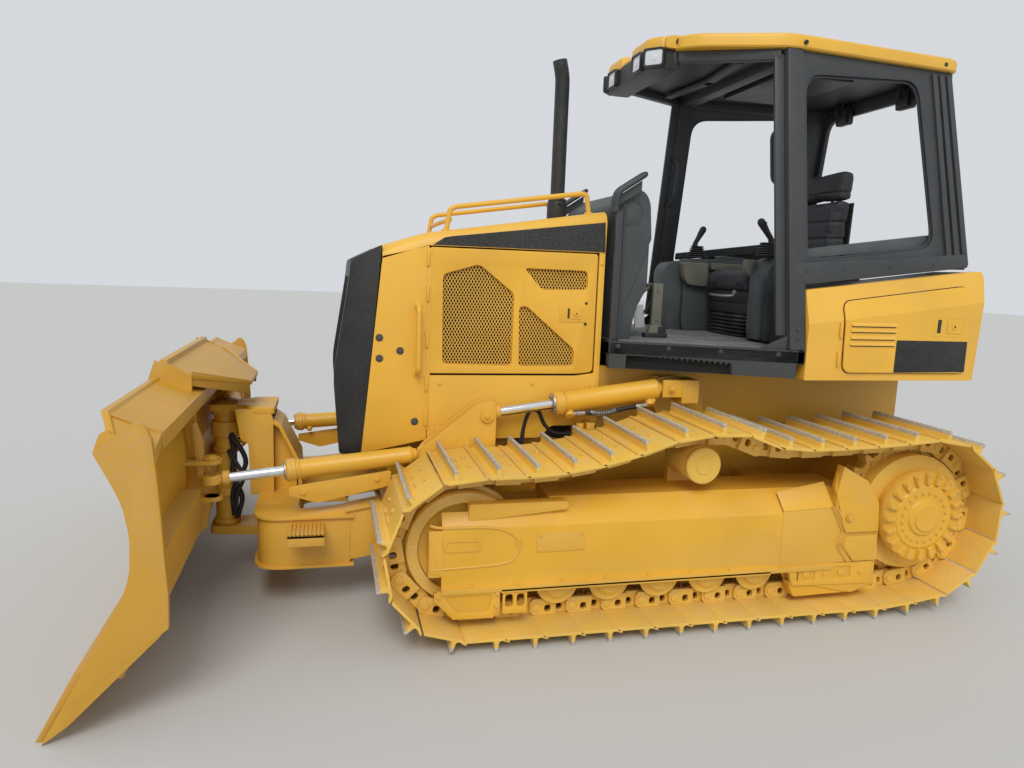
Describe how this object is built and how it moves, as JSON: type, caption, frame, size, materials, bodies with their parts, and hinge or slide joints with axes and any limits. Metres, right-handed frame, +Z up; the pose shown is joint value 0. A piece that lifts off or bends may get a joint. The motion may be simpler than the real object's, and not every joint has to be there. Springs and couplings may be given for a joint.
{
  "type": "bulldozer",
  "caption": "Small tracked bulldozer with an open rollover canopy and a front blade that lifts, angles and tilts on hydraulic cylinders.",
  "frame": {"origin": "on the ground under the middle of the whole machine", "axes": "+X forward to the blade, +Y to the machine's left, +Z up"},
  "size_m": [4.219, 2.782, 2.7],
  "materials": {
    "charcoal": "dark grey paint, satin",
    "chrome_rod": "polished chrome",
    "interior_grey": "moulded dark grey plastic",
    "iron": "cast iron",
    "lamp": "lamp glass in a dark housing",
    "seat_fabric": "black seat cloth",
    "steel": "worn bare steel",
    "track_yellow": "yellow paint rubbed to bare steel on the ribs",
    "yellow": "worn yellow machine paint, satin"
  },
  "bodies": {
    "tractor": {"main_frame": "yellow", "engine_block": "iron", "track_frames": "yellow", "track_left": "track_yellow", "track_right": "track_yellow", "idlers": "track_yellow", "bottom_rollers": "track_yellow", "carrier_rollers": "track_yellow", "sprockets": "track_yellow", "final_drive_covers": "yellow", "hood_top": "yellow", "radiator_grille": "charcoal", "nose_panels": "yellow", "lower_side_panels": "yellow", "exhaust_stack": "charcoal", "grab_rails": "charcoal", "operator_platform": "interior_grey", "canopy_frame": "charcoal", "roof": "yellow", "fenders": "yellow", "rear_tank": "yellow", "seat_base": "interior_grey", "seat_cushion": "seat_fabric", "seat_back": "seat_fabric", "side_consoles": "interior_grey", "control_levers": "interior_grey", "dash_column": "interior_grey", "work_lamps": "lamp", "hood_rails": "yellow"},
    "push_frame": {"push_frame": "yellow"},
    "swivel": {"swivel_post": "yellow"},
    "blade": {"blade": "yellow", "cutting_edge": "steel"},
    "engine_door_left": {"engine_door_left": "yellow"},
    "engine_door_right": {"engine_door_right": "yellow"},
    "service_door_left": {"service_door_left": "yellow"},
    "service_door_right": {"service_door_right": "yellow"},
    "lift_barrel_left": {"lift_barrel_left": "yellow"},
    "lift_barrel_right": {"lift_barrel_right": "yellow"},
    "lift_rod_left": {"lift_rod_left": "chrome_rod"},
    "lift_rod_right": {"lift_rod_right": "chrome_rod"},
    "angle_barrel_left": {"angle_barrel_left": "yellow"},
    "angle_barrel_right": {"angle_barrel_right": "yellow"},
    "angle_rod_left": {"angle_rod_left": "chrome_rod"},
    "angle_rod_right": {"angle_rod_right": "chrome_rod"},
    "tilt_barrel": {"tilt_barrel": "yellow"},
    "tilt_rod": {"tilt_rod": "chrome_rod"}
  },
  "joints": [
    {"name": "blade_lift", "type": "hinge", "parent": "tractor", "child": "push_frame", "pos_m": [0.146, 0, 0.42], "axis": [0, -1, 0], "range_deg": [-18, 21]},
    {"name": "blade_angle", "type": "hinge", "parent": "push_frame", "child": "swivel", "pos_m": [1.691, 0, 0.47], "axis": [0, 0, 1], "range_deg": [-25, 25]},
    {"name": "blade_tilt", "type": "hinge", "parent": "swivel", "child": "blade", "pos_m": [1.691, 0, 0.47], "axis": [1, 0, 0], "range_deg": [-7, 7]},
    {"name": "lift_barrel_left_pivot", "type": "hinge", "parent": "tractor", "child": "lift_barrel_left", "pos_m": [-0.43, 0.48, 1.012], "axis": [0, -1, 0], "range_deg": [-6.05, 6.89]},
    {"name": "lift_rod_left_stroke", "type": "slide", "parent": "lift_barrel_left", "child": "lift_rod_left", "axis": [0.9907, 0, -0.1361], "range_m": [-0.19164, 0.16498]},
    {"name": "angle_barrel_left_pivot", "type": "hinge", "parent": "push_frame", "child": "angle_barrel_left", "pos_m": [0.766, 0.48, 0.7], "axis": [0, -1, 0], "range_deg": [-4.71, 4.71]},
    {"name": "angle_rod_left_stroke", "type": "slide", "parent": "angle_barrel_left", "child": "angle_rod_left", "axis": [0.9939, 0.076, -0.0804], "range_m": [-0.24384, 0.24384]},
    {"name": "lift_barrel_right_pivot", "type": "hinge", "parent": "tractor", "child": "lift_barrel_right", "pos_m": [-0.43, -0.48, 1.012], "axis": [0, -1, 0], "range_deg": [-6.05, 6.89]},
    {"name": "lift_rod_right_stroke", "type": "slide", "parent": "lift_barrel_right", "child": "lift_rod_right", "axis": [0.9907, 0, -0.1361], "range_m": [-0.19164, 0.16498]},
    {"name": "angle_barrel_right_pivot", "type": "hinge", "parent": "push_frame", "child": "angle_barrel_right", "pos_m": [0.766, -0.48, 0.7], "axis": [0, -1, 0], "range_deg": [-4.71, 4.71]},
    {"name": "angle_rod_right_stroke", "type": "slide", "parent": "angle_barrel_right", "child": "angle_rod_right", "axis": [0.9939, -0.076, -0.0804], "range_m": [-0.24384, 0.24384]},
    {"name": "tilt_barrel_pivot", "type": "hinge", "parent": "swivel", "child": "tilt_barrel", "pos_m": [1.706, -0.15, 0.79], "axis": [1, 0, 0], "range_deg": [-9.67, 9.67]},
    {"name": "tilt_rod_stroke", "type": "slide", "parent": "tilt_barrel", "child": "tilt_rod", "axis": [0, -0.9962, 0.0874], "range_m": [-0.04034, 0.04034]},
    {"name": "engine_door_left_hinge", "type": "hinge", "parent": "tractor", "child": "engine_door_left", "pos_m": [0.754, 0.42, 1.388], "axis": [0, 0, -1], "range_deg": [0, 95]},
    {"name": "service_door_left_hinge", "type": "hinge", "parent": "tractor", "child": "service_door_left", "pos_m": [-1.124, 0.825, 1.3], "axis": [0, 0, -1], "range_deg": [0, 95]},
    {"name": "engine_door_right_hinge", "type": "hinge", "parent": "tractor", "child": "engine_door_right", "pos_m": [0.754, -0.42, 1.388], "axis": [0, 0, 1], "range_deg": [0, 95]},
    {"name": "service_door_right_hinge", "type": "hinge", "parent": "tractor", "child": "service_door_right", "pos_m": [-1.124, -0.825, 1.3], "axis": [0, 0, 1], "range_deg": [0, 95]}
  ],
  "couplings": [
    {"joint": "lift_barrel_left_pivot", "follows": "blade_lift", "ratio": 0.28063},
    {"joint": "lift_rod_left_stroke", "follows": "blade_lift", "m_per_rad": -0.50923},
    {"joint": "angle_barrel_left_pivot", "follows": "blade_tilt", "ratio": 0.60109},
    {"joint": "angle_rod_left_stroke", "follows": "blade_angle", "m_per_rad": -0.54738},
    {"joint": "lift_barrel_right_pivot", "follows": "blade_lift", "ratio": 0.28063},
    {"joint": "lift_rod_right_stroke", "follows": "blade_lift", "m_per_rad": -0.50923},
    {"joint": "angle_barrel_right_pivot", "follows": "blade_tilt", "ratio": -0.60109},
    {"joint": "angle_rod_right_stroke", "follows": "blade_angle", "m_per_rad": 0.54738},
    {"joint": "tilt_barrel_pivot", "follows": "blade_tilt", "ratio": 1.31},
    {"joint": "tilt_rod_stroke", "follows": "blade_tilt", "m_per_rad": 0.30567}
  ]
}
